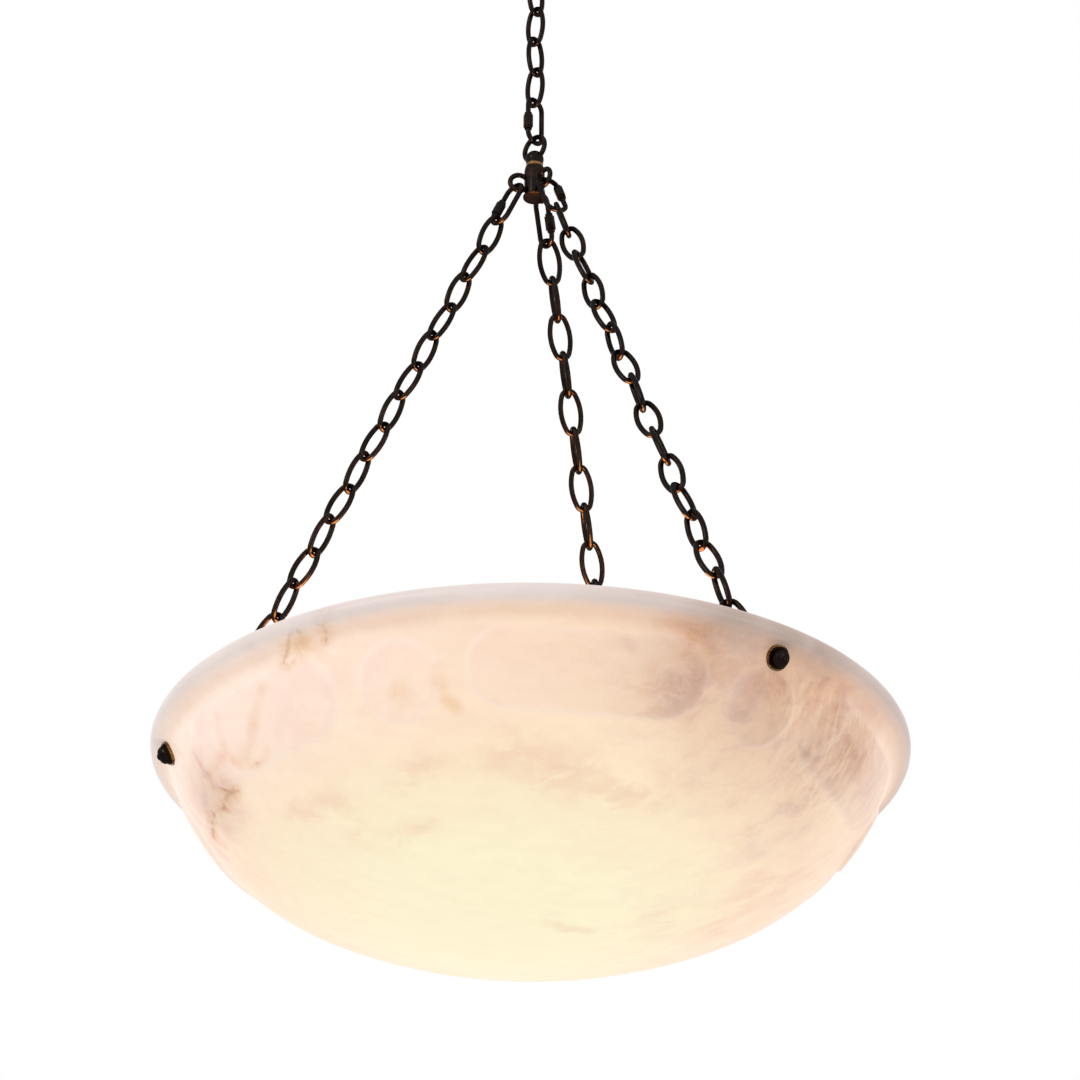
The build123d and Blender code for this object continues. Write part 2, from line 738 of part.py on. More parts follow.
for side, (azimuth, *_) in legs.items():
    radial_plane = Plane(origin=(0, 0, 0), x_dir=Vector(1, 0, 0).rotate(Axis.Z, azimuth),
                         z_dir=Vector(0, -1, 0).rotate(Axis.Z, azimuth))
    with BuildPart() as cluster_arm:
        with BuildSketch(radial_plane):
            with BuildLine():
                FilletPolyline(
                    (stud_r + tab_r * arm_overrun, rim_z + stud_z + tab_z * arm_overrun),
                    (stud_r - tab_r * arm_tab, rim_z + stud_z - tab_z * arm_tab),
                    (pan_radius + arm_bend, pan_floor - arm_thickness / 2),
                    (pan_radius - arm_foot, pan_floor - arm_thickness / 2),
                    radius=arm_bend,
                )
            trace(line_width=arm_thickness)
        extrude(amount=arm_width / 2, both=True)
        stud_place = stud_places[list(legs).index(side)]
        with Locations(stud_place * Location((0, 0, -tab_depth))):
            Cylinder(rim_stud_radius + 0.2, 4 * arm_thickness, mode=Mode.SUBTRACT)
        with Locations(Vector(pan_radius - arm_foot / 2, 0, pan_floor).rotate(Axis.Z, azimuth)):
            Cylinder(screw_radius, 4 * arm_thickness, mode=Mode.SUBTRACT)
    save(cluster_arm.part, f"cluster_arm_{side}")

holder_azimuths = [azimuth + 60 for azimuth in leg_azimuths]
holder_z = pan_top - pan_height / 2
screw_spots = [Vector(pan_radius - arm_foot / 2, 0, pan_floor).rotate(Axis.Z, azimuth)
               for azimuth in leg_azimuths]


def holder_place(azimuth):
    """A lampholder's place: its back on the pan's wall and +Z out along its axis."""
    outward = Vector(1, 0, 0).rotate(Axis.Z, azimuth)
    return Plane(origin=outward * pan_radius + Vector(0, 0, holder_z), z_dir=outward).location


with BuildPart() as cluster_pan:
    with BuildSketch(Plane.XY.offset(pan_floor)):
        Circle(pan_radius)
    extrude(amount=pan_height)
    with BuildSketch(Plane.XY.offset(pan_top)):
        Circle(pan_radius - pan_sheet)
    extrude(amount=pan_sheet - pan_height, mode=Mode.SUBTRACT)
    with Locations(*screw_spots):
        Cylinder(screw_radius, 4 * pan_sheet, mode=Mode.SUBTRACT)
    with Locations(*[holder_place(azimuth) for azimuth in holder_azimuths]):
        Cylinder(holder_nipple_radius, 6 * pan_sheet, mode=Mode.SUBTRACT)
save(cluster_pan.part, "cluster_pan")

with BuildPart() as arm_screws:
    with Locations(*[spot - Vector(0, 0, arm_thickness) for spot in screw_spots]):
        Cylinder(screw_radius, screw_length, align=(Align.CENTER, Align.CENTER, Align.MIN))
        Cylinder(screw_head_radius, screw_head_height, align=(Align.CENTER, Align.CENTER, Align.MAX))
save(arm_screws.part, "arm_screws")

with BuildPart() as arm_screw_nuts:
    with Locations(*[spot + Vector(0, 0, pan_sheet) for spot in screw_spots]):
        add(hex_nut(screw_head_radius * 2, screw_radius, 0, screw_head_height))
save(arm_screw_nuts.part, "arm_screw_nuts")

cover_skirt = pan_radius - pan_sheet - cover_clearance
with BuildPart() as cluster_cover:
    with BuildSketch(Plane.XY.offset(pan_top)):
        Circle(pan_radius)
        Circle(gland_thread_radius, mode=Mode.SUBTRACT)
    extrude(amount=cover_sheet)
    with BuildSketch(Plane.XY.offset(pan_top)):
        Circle(cover_skirt)
        Circle(cover_skirt - cover_sheet, mode=Mode.SUBTRACT)
    extrude(amount=-cover_overlap)
    with Locations(*[holder_place(azimuth) for azimuth in holder_azimuths]):
        Cylinder(holder_nipple_radius * 2, 8 * pan_sheet, mode=Mode.SUBTRACT)
    fillet(edges().filter_by(GeomType.CIRCLE).group_by(Axis.Z)[-1].sort_by(SortBy.RADIUS)[-1],
           radius=cover_sheet * 0.8)
save(cluster_cover.part, "cluster_cover")

gland_seat = pan_top + cover_sheet
gland = turned([
    (gland_bore, gland_seat - cover_sheet - gland_nut_height - 1),
    (gland_thread_radius, gland_seat - cover_sheet - gland_nut_height - 1),
    (gland_thread_radius, gland_seat), (gland_radius, gland_seat),
    (gland_radius, gland_seat + gland_height * 0.6),
    (gland_radius * 0.72, gland_seat + gland_height), (gland_bore, gland_seat + gland_height),
])
save(gland, "cord_gland")
save(hex_nut(gland_radius * 2, gland_thread_radius, pan_top - gland_nut_height, gland_nut_height),
     "gland_nut")

with BuildPart() as terminal_block:
    with BuildSketch(Plane.XY.offset(pan_floor + pan_sheet)):
        Rectangle(block_length, block_width)
    extrude(amount=block_height)
    with BuildSketch(Plane.XY.offset(pan_floor + pan_sheet + block_height)):
        with GridLocations(block_length / 3, block_width / 2, 3, 2):
            Circle(block_width / 8)
    extrude(amount=-block_height / 2, mode=Mode.SUBTRACT)
save(terminal_block.part, "terminal_block")

# A lampholder: a cup on a hollow nipple, with the bulb's cap screwed into it.
holder = turned([
    (nipple_bore, -pan_sheet - 6), (holder_nipple_radius, -pan_sheet - 6),
    (holder_nipple_radius, 0), (holder_radius * 0.75, 0),
    (holder_radius, holder_floor), (holder_radius, holder_length),
    (bulb_cap_radius, holder_length), (bulb_cap_radius, holder_floor),
    (nipple_bore, holder_floor),
])
cap_back = holder_length - bulb_cap_length + 2
bulb_cap = turned([
    (0, cap_back - 3), (bulb_cap_radius * 0.4, cap_back - 3), (bulb_cap_radius * 0.5, cap_back - 1),
    (bulb_cap_radius, cap_back + 3), (bulb_cap_radius, cap_back + bulb_cap_length - 2),
    (bulb_neck_radius + 1, cap_back + bulb_cap_length - 2), (bulb_neck_radius + 1, cap_back + 6),
    (0, cap_back + 6),
])
glass_start = cap_back + 6.5
glass_neck = cap_back + bulb_cap_length
glass_end = glass_neck + bulb_length

for number, azimuth in enumerate(holder_azimuths, start=1):
    place = holder_place(azimuth)
    with BuildPart() as lampholder:
        with Locations(place):
            add(holder)
    save(lampholder.part, f"lampholder_{number}")

    with BuildPart() as bulb_base:
        with Locations(place):
            add(bulb_cap)
    save(bulb_base.part, f"bulb_base_{number}")

    with BuildPart() as bulb:
        with BuildSketch(Plane.XZ):
            with BuildLine():
                Line((bulb_neck_radius, glass_start), (bulb_neck_radius, glass_neck))
                globe = glass_end - bulb_radius
                Spline((bulb_neck_radius, glass_neck), (bulb_radius * 0.72, globe - bulb_radius * 0.7),
                       (bulb_radius, globe), tangents=[(0, 1), (0, 1)])
                RadiusArc((bulb_radius, globe), (0, glass_end), -bulb_radius)
                Line((0, glass_end), (0, glass_end - bulb_glass))
                RadiusArc((0, glass_end - bulb_glass), (bulb_radius - bulb_glass, globe),
                          bulb_radius - bulb_glass)
                Spline((bulb_radius - bulb_glass, globe),
                       (bulb_radius * 0.72 - bulb_glass, globe - bulb_radius * 0.7 + 0.3),
                       (bulb_neck_radius - bulb_glass, glass_neck), tangents=[(0, -1), (0, -1)])
                Line((bulb_neck_radius - bulb_glass, glass_neck),
                     (bulb_neck_radius - bulb_glass, glass_start))
                Line((bulb_neck_radius - bulb_glass, glass_start), (bulb_neck_radius, glass_start))
            make_face()
        revolve(axis=Axis.Z)
    with BuildPart() as bulb_placed:
        with Locations(place):
            add(bulb.part)
    save(bulb_placed.part, f"bulb_glass_{number}")

with BuildPart() as holder_nuts:
    with Locations(*[holder_place(azimuth) for azimuth in holder_azimuths]):
        add(hex_nut(holder_nut_flats, holder_nipple_radius, -pan_sheet - holder_nut_back,
                    holder_nut_height))
save(holder_nuts.part, "holder_nuts")
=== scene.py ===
"""Looks for the alabaster bowl pendant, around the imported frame. Metres, +Z up."""

import json
from math import atan2, cos, hypot, pi, radians, sin, sqrt

import bpy
from mathutils import Matrix, Vector


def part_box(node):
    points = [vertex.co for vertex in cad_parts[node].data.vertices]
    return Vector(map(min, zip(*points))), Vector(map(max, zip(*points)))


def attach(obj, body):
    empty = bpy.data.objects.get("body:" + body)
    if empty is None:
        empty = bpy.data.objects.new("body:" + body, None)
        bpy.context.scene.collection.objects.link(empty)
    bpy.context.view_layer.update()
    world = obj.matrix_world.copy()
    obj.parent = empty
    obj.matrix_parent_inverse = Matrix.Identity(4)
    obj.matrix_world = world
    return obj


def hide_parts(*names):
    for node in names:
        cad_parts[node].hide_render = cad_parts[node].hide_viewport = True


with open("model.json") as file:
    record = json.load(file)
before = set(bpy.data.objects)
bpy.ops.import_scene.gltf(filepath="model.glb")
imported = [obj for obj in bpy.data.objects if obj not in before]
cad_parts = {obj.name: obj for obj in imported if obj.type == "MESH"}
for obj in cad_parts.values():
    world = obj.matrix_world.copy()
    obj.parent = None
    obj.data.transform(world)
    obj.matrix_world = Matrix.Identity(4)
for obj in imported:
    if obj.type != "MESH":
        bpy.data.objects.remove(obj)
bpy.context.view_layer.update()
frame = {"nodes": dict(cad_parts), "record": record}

MM = 0.001

# ---- Driving dimensions, in metres ---------------------------------------------------

RIM_RADIUS = 254.0 * MM
LIP_RADIUS = 6.5 * MM
LIP_OVERHANG = 10.4 * MM
CREASE_DROP = 7.6 * MM
CREASE_ROUND = 5.0 * MM
NECK_SLOPE = radians(62.0)
NECK_LENGTH = 28.0 * MM
SIDE_RADIUS = 137.0 * MM
FOOT_SLOPE = radians(25.7)
WALL = 10.5 * MM
LIP_CORNER = 2.0 * MM

BOSS_PAIRS = 6          # discs and ovals by turns
BOSS_RELIEF = 2.0 * MM
BOSS_SOFTNESS = 1.8 * MM
BOSS_GLINT = 2.2 * BOSS_SOFTNESS        # half the width of the light line along its outline
BOSS_SLOPE = radians(57.8)
DISC_DIAMETER = 50.0 * MM
OVAL_LENGTH = 147.0 * MM
OVAL_HEIGHT = 50.0 * MM
FIRST_DISC = radians(-50.9)

FIXING_AZIMUTHS = [FIRST_DISC + radians(120) * number for number in range(3)]
FIXING_SEAT = (240.64 * MM, -12.31 * MM)    # the washers' seats, from the rim's middle
SEAT_RADIUS = 8.8 * MM                      # flat out to here
SEAT_FADE = 12.0 * MM                       # and run out here

TURNS = 720             # steps round the bowl
STEP = 2.0 * MM         # steps along its section
CREASE_STEPS = 6
CORNER_STEPS = 5

RIM_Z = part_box("bowl")[1].z - LIP_RADIUS
RIM_CENTRE = Vector((0, 0, RIM_Z))

# ---- Camera, as solved from the photograph --------------------------------------------

CAMERA_BACK = 1.9635
CAMERA_DROP = 0.8846
CAMERA_YAW = 0.00282
CAMERA_PITCH = 0.49258
CAMERA_ROLL = 0.00542
CAMERA_LENS = 106.65    # mm, over a sensor of 36 mm
CAMERA_SENSOR = 36.0
CAMERA_REACH = 50.0

# ---- Lights and floor ---------------------------------------------------------------------

WORLD_LIGHT = 0.80
WHITE_BACKDROP = 1.0
LIT_HEIGHT = 0.15       # the lamps aim here, above the rim's middle
# (name, place from the rim's middle, disk's diameter, watts)
STUDIO_LAMPS = [
    ("key", (-1.6, -1.9, 1.3), 1.2, 16.0),
    ("fill", (1.8, -1.4, -0.2), 1.4, 6.0),
]
# The bulbs' light on the chains: a disk over the bowl's mouth, and a point for close pieces.
MOUTH_GLOW_RISE = 11.0 * MM
MOUTH_GLOW_DIAMETER = 0.34
MOUTH_GLOW_POWER = 16.0
MOUTH_GLOW_TINT = (1.0, 0.42, 0.10)
BULB_GLOW_RISE = 10.0 * MM
BULB_GLOW_RADIUS = 0.06
BULB_GLOW_POWER = 0.9
BULB_GLOW_TINT = (1.0, 0.50, 0.16)
FLOOR_Z = -2.45
FLOOR_HALF = 6.0


# ---- Node helpers ----------------------------------------------------------------------

class Shade:
    """A material under construction: short calls that add nodes and join them."""

    def __init__(self, name):
        self.material = bpy.data.materials.new(name)
        self.material.use_nodes = True
        self.tree = self.material.node_tree
        self.surface = self.tree.nodes["Principled BSDF"]
        self.place = self.add("ShaderNodeTexCoord").outputs["Object"]

    def add(self, kind, **settings):
        made = self.tree.nodes.new(kind)
        for key, value in settings.items():
            setattr(made, key, value)
        return made

    def feed(self, socket, value):
        """Joins a socket to another one, or sets it to a value."""
        if isinstance(value, bpy.types.NodeSocket):
            self.tree.links.new(value, socket)
        else:
            socket.default_value = value

    def math(self, operation, *values, clamp=False):
        made = self.add("ShaderNodeMath", operation=operation, use_clamp=clamp)
        for socket, value in zip(made.inputs, values):
            self.feed(socket, value)
        return made.outputs[0]

    def vector(self, operation, *values):
        made = self.add("ShaderNodeVectorMath", operation=operation)
        for socket, value in zip(made.inputs, values):
            self.feed(socket, value)
        number = operation in ("DISTANCE", "DOT_PRODUCT")
        return made.outputs["Value" if number else "Vector"]

    def times(self, *values):
        product = values[0]
        for value in values[1:]:
            product = self.math("MULTIPLY", product, value)
        return product

    def plus(self, *values):
        total = values[0]
        for value in values[1:]:
            total = self.math("ADD", total, value)
        return total

    def most(self, *values):
        top = values[0]
        for value in values[1:]:
            top = self.math("MAXIMUM", top, value)
        return top

    def stretch(self, place, factors):
        return self.vector("MULTIPLY", place, factors)

    def noise(self, place, scale, detail=4.0, roughness=0.55, distortion=0.0, output="Fac"):
        made = self.add("ShaderNodeTexNoise")
        self.feed(made.inputs["Vector"], place)
        for name, value in (("Scale", scale), ("Detail", detail), ("Roughness", roughness),
                            ("Distortion", distortion)):
            made.inputs[name].default_value = value
        return made.outputs[output]

    def warped(self, place, scale, amount):
        """The same place pushed about by a noise of that scale, by up to amount."""
        push = self.noise(place, scale, detail=3.0, output="Color")
        push = self.vector("SUBTRACT", push, (0.5, 0.5, 0.5))
        push = self.vector("SCALE", push)
        push.node.inputs["Scale"].default_value = amount * 2
        return self.vector("ADD", place, push)

    def ramp(self, value, low, high, top=1.0, bottom=0.0, shape="SMOOTHSTEP"):
        """A step of value, from bottom at low to top at high."""
        made = self.add("ShaderNodeMapRange", interpolation_type=shape)
        for socket, number in zip(made.inputs, (value, low, high, bottom, top)):
            self.feed(socket, number)
        return made.outputs["Result"]

    def mix(self, amount, first, second, blend="MIX"):
        made = self.add("ShaderNodeMix", data_type="RGBA", blend_type=blend)
        self.feed(made.inputs["Factor"], amount)
        self.feed(made.inputs["A"], colour(first))
        self.feed(made.inputs["B"], colour(second))
        return made.outputs["Result"]

    def stain(self, amount, base, tint):
        return self.mix(amount, base, tint, blend="MULTIPLY")

    def colours(self, value, *stops):
        """A colour ramp with (position, colour) stops."""
        made = self.add("ShaderNodeValToRGB")
        self.feed(made.inputs["Fac"], value)
        band = made.color_ramp
        band.interpolation = "EASE"
        while len(band.elements) < len(stops):
            band.elements.new(0.5)
        for element, (position, tint) in zip(band.elements, stops):
            element.position = position
            element.color = colour(tint)
        return made.outputs["Color"]

    def bump(self, height, distance, strength):
        made = self.add("ShaderNodeBump")
        self.feed(made.inputs["Height"], height)
        made.inputs["Distance"].default_value = distance
        made.inputs["Strength"].default_value = strength
        self.feed(self.surface.inputs["Normal"], made.outputs["Normal"])

    def set(self, **inputs):
        """Feeds the surface's sockets, named with underscores for spaces."""
        for name, value in inputs.items():
            self.feed(self.surface.inputs[name.replace("_", " ")], value)
        return self.material


def colour(value):
    """Adds full alpha to a colour of three numbers."""
    if isinstance(value, tuple) and len(value) == 3:
        return (*value, 1.0)
    return value


# ---- Bowl section ---------------------------------------------------------------------

def bowl_section():
    """The bowl's section from the bottom's middle, up the outside and down the inside.

    Each point is (r, z, normal r, normal z, relief room). Relief room is how far a boss
    can stand proud there; it is 0 away from the belt.
    """
    crease = Vector((RIM_RADIUS - LIP_OVERHANG, -CREASE_DROP))
    neck_dir = Vector((cos(NECK_SLOPE), sin(NECK_SLOPE)))
    neck_foot = crease - neck_dir * NECK_LENGTH
    side = neck_foot + Vector((-sin(NECK_SLOPE), cos(NECK_SLOPE))) * SIDE_RADIUS
    knuckle = side + Vector((sin(FOOT_SLOPE), -cos(FOOT_SLOPE))) * SIDE_RADIUS
    bottom_radius = knuckle.x / sin(FOOT_SLOPE)
    bottom = Vector((0, knuckle.y + bottom_radius * cos(FOOT_SLOPE)))

    def arc(centre, radius, start, end, outward=1, relief=0.0):
        count = max(3, int(abs(end - start) * radius / STEP))
        for number in range(count):
            slope = start + (end - start) * number / count
            normal = Vector((sin(slope), -cos(slope)))
            point = centre + normal * radius
            yield (*point, *(normal * outward), relief)

    def straight(start, end, normal, relief=lambda along: 0.0):
        count = max(2, int((end - start).length / STEP))
        for number in range(count):
            point = start.lerp(end, number / count)
            yield (*point, *normal, relief((point - start).length))

    def boss_on_neck(along):
        reach = (SIDE_RADIUS + BOSS_RELIEF) ** 2 - along ** 2
        return max(0.0, sqrt(reach) - SIDE_RADIUS)

    neck_normal = Vector((sin(NECK_SLOPE), -cos(NECK_SLOPE)))
    lip = Vector((RIM_RADIUS - LIP_RADIUS, 0))
    # The crease is a small hollow round between the neck and the lip's roll.
    hollow_start = crease - neck_dir * CREASE_ROUND
    hollow_end = lip - Vector((0, LIP_RADIUS))

    points = list(arc(bottom, bottom_radius, 0, FOOT_SLOPE))
    points += arc(side, SIDE_RADIUS, FOOT_SLOPE, NECK_SLOPE, relief=BOSS_RELIEF)
    points += straight(neck_foot, hollow_start, neck_normal, boss_on_neck)
    for number in range(CREASE_STEPS):
        share = number / CREASE_STEPS
        first = hollow_start.lerp(crease, share)
        second = crease.lerp(hollow_end, share)
        points.append((*first.lerp(second, share), *neck_normal, 0.0))
    points += arc(lip, LIP_RADIUS, 0, pi)
    inner_foot = neck_foot - neck_normal * WALL
    inner_top = inner_foot + neck_dir * ((LIP_RADIUS - inner_foot.y) / neck_dir.y)
    corner = inner_top + Vector((LIP_CORNER, 0))
    points += straight(lip + Vector((0, LIP_RADIUS)), corner, Vector((0, 1)))
    below = inner_top - neck_dir * LIP_CORNER
    for number in range(CORNER_STEPS):
        share = number / CORNER_STEPS
        first = corner.lerp(inner_top, share)
        second = inner_top.lerp(below, share)
        points.append((*first.lerp(second, share), 0.0, 1.0, 0.0))
    points += straight(below, inner_foot, -neck_normal)
    points += arc(side, SIDE_RADIUS - WALL, NECK_SLOPE, FOOT_SLOPE, outward=-1)
    points += arc(bottom, bottom_radius - WALL, FOOT_SLOPE, 0, outward=-1)
    return points, side


# ---- Alabaster ------------------------------------------------------------------------

BLACK = (0.0, 0.0, 0.0)
STONE_SHARE = 0.42      # of a tint, as the stone's own colour
GLOW_SHARE = 0.64       # of it, sent out from inside

# Light through the stone, from far from the bulbs to near them.
DEEP_TINT = (0.89, 0.66, 0.51)
PEACH_TINT = (0.95, 0.725, 0.53)
WARM_TINT = (0.99, 0.785, 0.565)
CREAM_TINT = (1.0, 0.865, 0.605)
GLOW_TINT = (1.0, 0.918, 0.635)

# The other tints: the upper left, the lip, threads, fibres and the bosses' painted highlight.
PINK_TINT = (1.0, 0.825, 0.70)
LIP_TINT = (0.74, 0.655, 0.63)
LIP_DIM_TINT = (0.54, 0.445, 0.41)
# painted shade on the lip and below it, round one finial
LIP_SHADE = (0.42, 0.32, 0.27)
THREAD_TINT = (0.98, 0.75, 0.52)
FIBRE_TINT = (1.0, 0.815, 0.57)
# painted highlight along the bosses' outlines
EDGE_HIGHLIGHT_TINT = (0.95, 0.83, 0.80)

# Stains multiply the light.
# darkens the dim patches: a broad stretch at the upper right, and one at the left
DIMMING_TINT = (0.78, 0.69, 0.64)
LAVENDER_STAIN = (0.80, 0.78, 0.88)
UMBER_STAIN = (0.84, 0.76, 0.735)
BLUSH_STAIN = (0.93, 0.82, 0.82)
BOSS_STAIN = (0.99, 0.965, 0.99)
MOTTLE_STAIN = (0.86, 0.83, 0.92)
BOSS_DIM_STAIN = (0.86, 0.83, 0.86)
# painted shade in the crease under the lip
CREASE_SHADE_TINT = (0.90, 0.86, 0.84)
LIP_STAIN = (0.86, 0.84, 0.84)
FLECK_STAIN = (0.93, 0.90, 0.90)
RUST_STAIN = (0.88, 0.73, 0.56)
AMBER_STAIN = (0.86, 0.70, 0.57)
BROWN_STAIN = (0.60, 0.48, 0.44)

# Places on the bowl's outside are (azimuth in degrees, climb in millimetres). The climb is
# measured along the section from the bottom's middle; the crease is at 296. Lines are
# (places, width) and patches are (place, reach).
BROWN_VEINS = [
    ([(-125.5, 305), (-125.5, 302), (-125, 298), (-125, 295)], 2.6),
    ([(-125.5, 297), (-127, 294), (-128.5, 288), (-130, 280)], 2.2),
    ([(-130, 280), (-129, 277), (-127.5, 278)], 1.8),
    ([(-120.5, 304), (-121, 296), (-121, 289)], 2.4),
    ([(-119, 305), (-119.5, 301), (-120.5, 296), (-121.5, 285)], 2.0),
    ([(-159, 262), (-159, 252), (-159.5, 242), (-160, 237)], 1.8),
    ([(-159.5, 242), (-157.5, 231), (-156, 226), (-153.5, 223)], 2.6),
    ([(-156, 226), (-160.5, 226), (-161, 223)], 2.6),
    ([(-161, 223), (-167, 228), (-170, 226), (-176, 225)], 2.4),
    ([(-148.5, 240), (-145, 229), (-142.5, 230), (-139.5, 233)], 1.6),
]
RUSTY_LINES = [
    ([(-128, 295), (-126, 284), (-123, 280)], 10.0),
    ([(-128, 302), (-127, 296)], 8.0),
    ([(-147.5, 269), (-148.5, 261), (-149.5, 246), (-158.5, 244)], 7.0),
    ([(-135.5, 268), (-139.5, 251), (-144.5, 239), (-147.5, 235)], 8.0),
    ([(-104.5, 255), (-104.5, 240), (-102.5, 230)], 8.0),
    ([(-71.5, 258), (-72.5, 242)], 6.0),
]
RUSTY_PATCHES = [
    ((-126, 287), 19.0),
    ((-121, 290), 12.0),
    ((-155, 226), 15.0),
    ((-111, 244), 14.0),
]
DARK_SPOTS = [
    ((-121.5, 297), 3.0),
    ((-125, 295), 3.0),
    ((-156, 226), 3.0),
    ((-38, 238), 7.0),
]
BLUSHES = [
    ([(-130, 68), (-117, 55), (-90, 27), (-26.5, 34)], 10.0),
    ([(-133.5, 154), (-131, 141), (-118.5, 146)], 24.0),
    ([(-118.5, 168), (-115, 191), (-111, 199)], 22.0),
    ([(-143, 189), (-135, 184)], 22.0),
    ([(-96, 198), (-82, 180), (-70.5, 172), (-63.5, 184)], 30.0),
    ([(-7, 100), (16, 142), (-12, 160)], 40.0),
    ([(-154, 240), (-164, 232), (-176, 226)], 36.0),
]
DIM_PATCHES = [
    ((-50, 258), 112.0),
    ((-63, 268), 70.0),
    ((-35, 240), 84.0),
    ((-160, 234), 42.0),
]
CLOUDS = [
    ((-71, 246), 46.0),
    ((-60, 250), 50.0),
    ((-36, 240), 66.0),
    ((-64, 285), 50.0),
    ((-31, 183), 60.0),
]
AMBER_PATCHES = [
    ((-39, 276), 46.0),
    ((-49, 270), 38.0),
    ((-27, 258), 44.0),
    ((-66, 288), 34.0),
]
# painted shade on the lip round the finial at FIRST_DISC
FINIAL_SHADE_PATCHES = [
    ((-50, 304), 36.0),
    ((-42.5, 306), 34.0),
    ((-60.5, 303), 46.0),
]
GLOW_CENTRE = Vector((-20, -35, -60)) * MM      # between the bulbs, from the rim's middle
GLOW_NEAR = 78.0 * MM
GLOW_FAR = 247.0 * MM


def on_bowl(azimuth, climb):
    """The point of the bowl's outside at a place, in metres from the rim's middle."""
    section, _ = bowl_section()
    climb *= MM
    for (r, z, *_), (next_r, next_z, *_) in zip(section, section[1:]):
        length = hypot(next_r - r, next_z - z)
        if climb <= length:
            break
        climb -= length
    r, z = r + (next_r - r) * climb / length, z + (next_z - z) * climb / length
    return Vector((r * cos(radians(azimuth)), r * sin(radians(azimuth)), z))


class Stone(Shade):
    """Alabaster lit from inside. Each layer takes the light so far and returns it changed."""

    def __init__(self):
        super().__init__("alabaster")
        self.spot = self.vector("SUBTRACT", self.place, tuple(RIM_CENTRE))
        axes = self.add("ShaderNodeSeparateXYZ")
        self.feed(axes.inputs[0], self.spot)
        self.across, self.depth, self.level = axes.outputs

        # The same place pushed about, from broad drift to a fine fray.
        self.drift = self.warped(self.spot, 9.0, 0.022)
        self.frayed = self.warped(self.warped(self.drift, 34.0, 0.010), 110.0, 0.0030)
        self.wobble = self.warped(self.warped(self.spot, 60.0, 0.0035), 190.0, 0.0016)
        self.drawn = self.stretch(self.frayed, (0.55, 0.9, 1.0))

        self.smoke = self.noise(self.drawn, 17.0, detail=5.0, roughness=0.52)
        self.wisp = self.noise(self.drawn, 46.0, detail=6.0, roughness=0.58)
        self.billow = self.ramp(self.plus(self.times(self.smoke, 0.55),
                                          self.times(self.wisp, 0.45)), 0.44, 0.64)
        self.glow = self.ramp(self.vector("DISTANCE", self.drift, tuple(GLOW_CENTRE)),
                              GLOW_NEAR, GLOW_FAR, top=0.0, bottom=1.0, shape="LINEAR")
        self.dim = self.patches(self.drift, DIM_PATCHES)
        self.cloudy = self.plus(self.times(self.patches(self.frayed, CLOUDS), 0.58),
                                self.times(self.dim, 0.35))

    def fade(self, value, width):
        """1 where value is 0, down to 0 at the width."""
        return self.ramp(value, 0.0, width, top=0.0, bottom=1.0)

    def away_from(self, value, level):
        return self.math("ABSOLUTE", self.math("SUBTRACT", value, level))

    def rest_of(self, value):
        return self.math("SUBTRACT", 1.0, value)

    def wispy(self, low, high, bottom=0.0):
        return self.ramp(self.wisp, low, high, bottom=bottom)

    def stroke(self, place, start, end, width):
        """1 on a line from start to end, fading to 0 over its width."""
        along = end - start
        from_start = self.vector("SUBTRACT", place, tuple(start))
        share = self.math("DIVIDE", self.vector("DOT_PRODUCT", from_start, tuple(along)),
                          along.length_squared, clamp=True)
        nearest = self.vector("SCALE", tuple(along))
        self.feed(nearest.node.inputs["Scale"], share)
        return self.fade(self.vector("DISTANCE", from_start, nearest), width)

    def lines(self, place, polylines, widen=1.0):
        """1 on any of several lines, fading to 0 over each one's width."""
        strokes = []
        for places, width in polylines:
            points = [on_bowl(*spot) for spot in places]
            strokes += [self.stroke(place, start, end, width * widen * MM)
                        for start, end in zip(points, points[1:])]
        return self.most(*strokes)

    def patches(self, place, spots):
        """1 at any of several places, fading to 0 at each one's reach."""
        return self.most(*(
            self.fade(self.vector("DISTANCE", place, tuple(on_bowl(*spot))), reach * MM)
            for spot, reach in spots))

    def ridges(self, where, scale, width, **settings):
        """Thin lines where a noise passes its middle."""
        return self.fade(self.away_from(self.noise(where, scale, **settings), 0.5), width)

    def lit_through(self):
        """Light falls off from the bulbs; the stone is paler and pinker at the upper left."""
        mottled = self.plus(self.glow, self.times(self.math("SUBTRACT", self.smoke, 0.5), 0.30),
                            self.times(self.math("SUBTRACT", self.wisp, 0.5), 0.16))
        lit = self.colours(mottled, (0.0, DEEP_TINT), (0.26, PEACH_TINT), (0.43, WARM_TINT),
                           (0.70, CREAM_TINT), (0.92, GLOW_TINT))
        left = self.times(self.ramp(self.across, -0.18, 0.06, top=0.0, bottom=1.0),
                          self.ramp(self.level, -0.095, -0.035, bottom=0.12))
        return self.mix(self.times(left, 0.76), lit, PINK_TINT)

    def clouded(self, lit):
        """A dimmer, cloudy stretch at the upper right, and faint blushes elsewhere."""
        # darker in the dim patches
        lit = self.stain(self.times(self.dim, 0.85), lit, DIMMING_TINT)
        cool = self.ramp(self.noise(self.spot, 22.0, detail=3.0), 0.40, 0.60)
        clouds = self.times(self.cloudy, self.billow)
        lit = self.stain(self.times(clouds, cool), lit, LAVENDER_STAIN)
        lit = self.stain(self.times(clouds, self.rest_of(cool)), lit, UMBER_STAIN)
        near_bulbs = self.ramp(self.glow, 0.25, 0.95, top=0.10, bottom=0.45)
        lit = self.stain(self.times(self.billow, near_bulbs), lit, BLUSH_STAIN)
        mottle = self.ramp(self.noise(self.drawn, 100.0, detail=5.0, roughness=0.62), 0.44, 0.60)
        mottle = self.times(mottle, self.wispy(0.40, 0.58, bottom=0.30))
        where = self.plus(self.times(self.dim, 0.55),
                          self.times(self.ramp(self.across, -0.08, 0.10), 0.18))
        lit = self.stain(self.times(mottle, where), lit, MOTTLE_STAIN)
        blush = self.times(self.lines(self.frayed, BLUSHES), self.wispy(0.38, 0.62))
        return self.stain(self.times(blush, 0.80), lit, BLUSH_STAIN)

